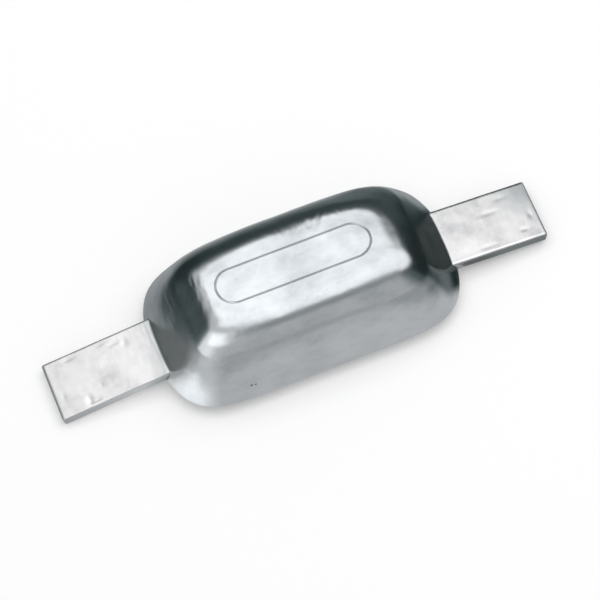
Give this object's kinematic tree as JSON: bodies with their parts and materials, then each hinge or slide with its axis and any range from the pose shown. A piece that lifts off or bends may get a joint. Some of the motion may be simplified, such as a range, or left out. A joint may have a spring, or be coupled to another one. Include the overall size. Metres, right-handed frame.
{
  "type": "sacrificial anode",
  "caption": "Loaf-shaped zinc hull anode cast round a flat steel strap, whose bent ends are welded to the hull to protect it from corrosion.",
  "frame": {"origin": "centre of the casting's back, on the underside of the strap", "axes": "+X along the strap towards its shorter end, +Y across it, +Z away from the hull through the cast top"},
  "size_m": [0.2006, 0.065, 0.0378],
  "materials": {
    "cast_zinc": "bare cast zinc, bright where it left the mould",
    "galvanised_steel": "galvanised flat bar, pale and matt"
  },
  "bodies": {
    "root": {"zinc_casting": "cast_zinc", "steel_strap": "galvanised_steel"}
  },
  "joints": []
}
